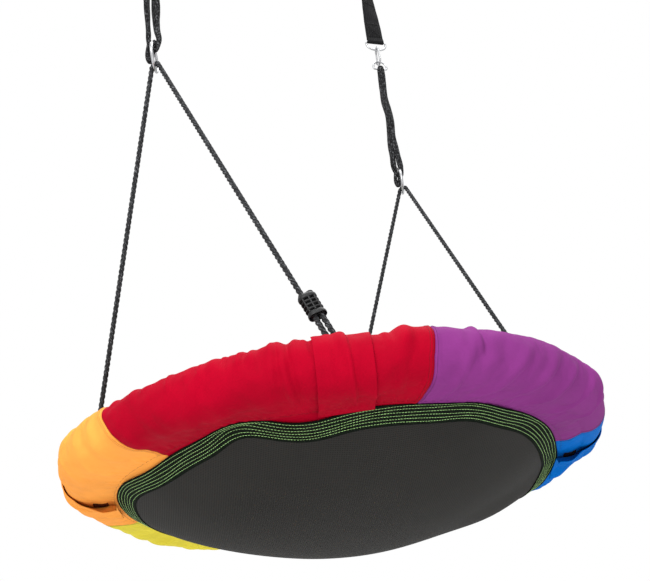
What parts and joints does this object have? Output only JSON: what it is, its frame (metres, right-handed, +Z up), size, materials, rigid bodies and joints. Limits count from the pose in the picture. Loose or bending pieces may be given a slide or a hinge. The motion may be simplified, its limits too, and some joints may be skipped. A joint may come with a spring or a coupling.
{
  "type": "saucer nest swing",
  "caption": "Round nest swing: a padded tube rim with a rainbow fabric cover and a sagging mesh mat, hung by V-shaped ropes, rings, slings, carabiners and tree straps.",
  "frame": {"origin": "on the crossbar's axis, midway between the two strap eyes", "axes": "+Z up; +X along the crossbar, from the left hanging line to the right one; the swing moves fore and aft along Y"},
  "size_m": [0.998, 0.998, 1.6265],
  "materials": {
    "strap_webbing": "woven flat webbing, black",
    "zinc_steel": "zinc-plated, bright",
    "tube_steel": "galvanised tube",
    "foam": "closed-cell polyethylene foam, far lighter than rubber",
    "mesh_fabric": "woven mesh, charcoal, matte",
    "border_tape": "black tape with rows of green stitching",
    "rope": "three-strand polyester rope, black with light flecks",
    "sling_braid": "braided sling, black",
    "adjuster_plastic": "moulded black plastic",
    "hook_tape": "hook-and-loop tape",
    "cover_green": "coated woven polyester, green",
    "cover_yellow": "coated woven polyester, yellow",
    "cover_orange": "coated woven polyester, orange",
    "cover_red": "coated woven polyester, red",
    "cover_purple": "coated woven polyester, purple",
    "cover_blue": "coated woven polyester, blue"
  },
  "bodies": {
    "hangers": {"tree_strap_left": "strap_webbing", "tree_strap_right": "strap_webbing", "strap_ring_left": "zinc_steel", "strap_ring_right": "zinc_steel"},
    "links": {"carabiner_left": "zinc_steel", "carabiner_right": "zinc_steel", "gate_pin_left": "zinc_steel", "gate_pin_right": "zinc_steel"},
    "gate_left": {"carabiner_gate_left": "zinc_steel"},
    "gate_right": {"carabiner_gate_right": "zinc_steel"},
    "left_sling": {"sling_ring_left": "zinc_steel", "sling_left": "sling_braid"},
    "right_sling": {"sling_ring_right": "zinc_steel", "sling_right": "sling_braid"},
    "rings": {"o_ring_left": "zinc_steel", "o_ring_right": "zinc_steel"},
    "seat": {"frame_tube_1": "tube_steel", "frame_tube_2": "tube_steel", "frame_tube_3": "tube_steel", "frame_tube_4": "tube_steel", "tube_screw_1": "zinc_steel", "tube_screw_2": "zinc_steel", "tube_screw_3": "zinc_steel", "tube_screw_4": "zinc_steel", "foam_sleeve_1": "foam", "foam_sleeve_2": "foam", "foam_sleeve_3": "foam", "foam_sleeve_4": "foam", "cover_panel_green": "cover_green", "cover_panel_yellow": "cover_yellow", "cover_panel_orange": "cover_orange", "cover_panel_red": "cover_red", "cover_panel_purple": "cover_purple", "cover_panel_blue": "cover_blue", "rope_flap_a": "cover_orange", "rope_flap_b": "cover_red", "rope_flap_c": "cover_blue", "rope_flap_d": "cover_green", "flap_tape_a": "hook_tape", "flap_tape_b": "hook_tape", "flap_tape_c": "hook_tape", "flap_tape_d": "hook_tape", "seat_mat": "mesh_fabric", "mat_border": "border_tape", "v_rope_left": "rope", "v_rope_right": "rope", "rope_tail_a": "rope", "rope_tail_b": "rope", "rope_tail_c": "rope", "rope_tail_d": "rope"},
    "adjuster_a": {"adjuster_a": "adjuster_plastic", "rope_end_a": "rope"},
    "adjuster_b": {"adjuster_b": "adjuster_plastic", "rope_end_b": "rope"},
    "adjuster_c": {"adjuster_c": "adjuster_plastic", "rope_end_c": "rope"},
    "adjuster_d": {"adjuster_d": "adjuster_plastic", "rope_end_d": "rope"}
  },
  "joints": [
    {"name": "swing", "type": "hinge", "parent": "hangers", "child": "links", "pos_m": [0, 0, -0.27], "axis": [1, 0, 0], "range_deg": [-40, 40]},
    {"name": "sway", "type": "hinge", "parent": "links", "child": "left_sling", "pos_m": [-0.3785, 0, -0.3156], "axis": [0, 1, 0], "range_deg": [-20, 20]},
    {"name": "sway_right", "type": "hinge", "parent": "links", "child": "right_sling", "pos_m": [0.3785, 0, -0.3156], "axis": [0, 1, 0], "range_deg": [-20, 20]},
    {"name": "seat_level", "type": "hinge", "parent": "left_sling", "child": "rings", "pos_m": [-0.3785, 0, -0.65], "axis": [0, 1, 0], "range_deg": [-20, 20]},
    {"name": "seat_tilt", "type": "hinge", "parent": "rings", "child": "seat", "pos_m": [0, 0, -0.706], "axis": [1, 0, 0], "range_deg": [-12, 12]},
    {"name": "adjust_a", "type": "slide", "parent": "seat", "child": "adjuster_a", "axis": [-0.0656, -0.3872, 0.9197], "range_m": [0, 0.15], "deforming": ["rope_tail_a"]},
    {"name": "adjust_b", "type": "slide", "parent": "seat", "child": "adjuster_b", "axis": [-0.0656, 0.3872, 0.9197], "range_m": [0, 0.15], "deforming": ["rope_tail_b"]},
    {"name": "adjust_c", "type": "slide", "parent": "seat", "child": "adjuster_c", "axis": [0.0656, 0.3872, 0.9197], "range_m": [0, 0.15], "deforming": ["rope_tail_c"]},
    {"name": "adjust_d", "type": "slide", "parent": "seat", "child": "adjuster_d", "axis": [0.0656, -0.3872, 0.9197], "range_m": [0, 0.15], "deforming": ["rope_tail_d"]},
    {"name": "gate_left", "type": "hinge", "parent": "links", "child": "gate_left", "pos_m": [-0.37251, 0.00923, -0.301], "axis": [0.8387, -0.5446, 0], "range_deg": [0, 24], "stiffness_Nm_per_rad": 0.05, "springref_deg": -5.73},
    {"name": "gate_right", "type": "hinge", "parent": "links", "child": "gate_right", "pos_m": [0.38449, 0.00923, -0.301], "axis": [0.8387, -0.5446, 0], "range_deg": [0, 24], "stiffness_Nm_per_rad": 0.05, "springref_deg": -5.73}
  ],
  "couplings": [
    {"joint": "sway_right", "follows": "sway", "ratio": 1},
    {"joint": "seat_level", "follows": "sway", "ratio": -1}
  ]
}
